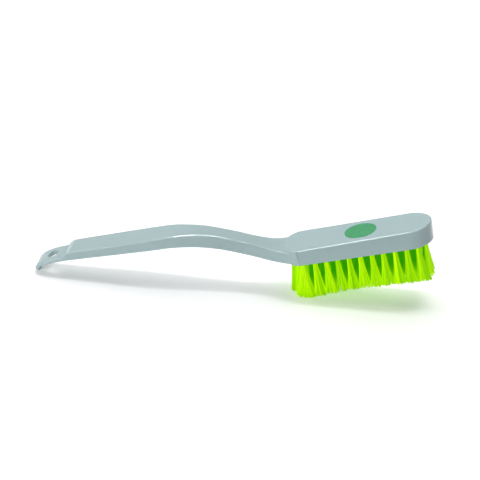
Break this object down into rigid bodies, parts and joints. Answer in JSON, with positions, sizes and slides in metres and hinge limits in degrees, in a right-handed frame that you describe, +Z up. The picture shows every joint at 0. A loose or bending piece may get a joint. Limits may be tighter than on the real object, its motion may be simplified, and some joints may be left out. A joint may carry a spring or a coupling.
{
  "type": "grout brush",
  "caption": "Long-handled grout brush: one-piece moulded body with an offset grip, hanging hole and plain oval label, and rows of bristle tufts held by flat metal anchors.",
  "frame": {"origin": "on the floor below the middle of the brush's overall length and width, with the brush lying on its bristles and on the curled tip of its handle", "axes": "+X along the brush from the hanging tab to the toe of the block, +Y across the brush, +Z up from the floor"},
  "size_m": [0.408, 0.0404, 0.0929],
  "materials": {
    "body": "smooth satin moulding, blue-grey",
    "label": "smooth satin print, green",
    "bristle": "bright green filaments, cut level at the tips",
    "anchor": "bright flat strip"
  },
  "bodies": {
    "root": {"brush_body": "body", "label_oval": "label", "tuft_a01": "bristle", "tuft_a02": "bristle", "tuft_a03": "bristle", "tuft_a04": "bristle", "tuft_a05": "bristle", "tuft_a06": "bristle", "tuft_a07": "bristle", "tuft_a08": "bristle", "tuft_a09": "bristle", "tuft_a10": "bristle", "tuft_a11": "bristle", "tuft_b01": "bristle", "tuft_b02": "bristle", "tuft_b03": "bristle", "tuft_b04": "bristle", "tuft_b05": "bristle", "tuft_b06": "bristle", "tuft_b07": "bristle", "tuft_b08": "bristle", "tuft_b09": "bristle", "tuft_b10": "bristle", "tuft_b11": "bristle", "tuft_b12": "bristle", "tuft_c01": "bristle", "tuft_c02": "bristle", "tuft_c03": "bristle", "tuft_c04": "bristle", "tuft_c05": "bristle", "tuft_c06": "bristle", "tuft_c07": "bristle", "tuft_c08": "bristle", "tuft_c09": "bristle", "tuft_c10": "bristle", "tuft_c11": "bristle", "tuft_c12": "bristle", "tuft_d01": "bristle", "tuft_d02": "bristle", "tuft_d03": "bristle", "tuft_d04": "bristle", "tuft_d05": "bristle", "tuft_d06": "bristle", "tuft_d07": "bristle", "tuft_d08": "bristle", "tuft_d09": "bristle", "tuft_d10": "bristle", "tuft_d11": "bristle", "tuft_heel": "bristle", "anchors_a": "anchor", "anchors_b": "anchor", "anchors_c": "anchor", "anchors_d": "anchor", "anchor_heel": "anchor"}
  },
  "joints": []
}
